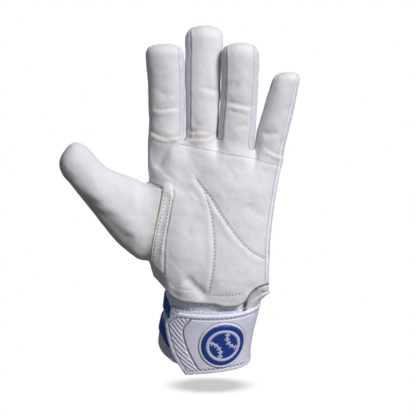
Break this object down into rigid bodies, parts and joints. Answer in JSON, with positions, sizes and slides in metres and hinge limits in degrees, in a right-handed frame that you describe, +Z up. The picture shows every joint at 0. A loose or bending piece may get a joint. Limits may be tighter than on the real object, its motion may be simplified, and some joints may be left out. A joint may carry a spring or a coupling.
{
  "type": "wicketkeeping inner glove",
  "caption": "Left-hand wicketkeeping inner glove with a chamois palm, cloth back, towelling cuff and moulded wrist strap.",
  "frame": {"origin": "centre of the wrist opening, at the rim of the cuff", "axes": "+Z up towards the fingertips, -Y out of the palm, +X from the thumb towards the little finger"},
  "size_m": [0.1695, 0.0604, 0.2523],
  "materials": {
    "chamois": "napped",
    "cloth": "woven",
    "towelling": "looped",
    "white_elastic": "ribbed",
    "blue_elastic": "ribbed",
    "strap_rubber": "satin",
    "badge_blue": "satin"
  },
  "bodies": {
    "root": {"palm_leather": "chamois", "thumb_leather": "chamois", "thumb_strip": "chamois", "side_tab": "chamois", "thumb_back": "cloth", "back_panel": "cloth", "fourchette_index_middle": "cloth", "fourchette_middle_ring": "cloth", "fourchette_ring_little": "cloth", "cuff_terry": "towelling", "cuff_back": "white_elastic", "blue_band_upper": "blue_elastic", "blue_band_lower": "blue_elastic", "loop_patch": "towelling", "wrist_strap": "strap_rubber", "strap_badge": "badge_blue"}
  },
  "joints": []
}
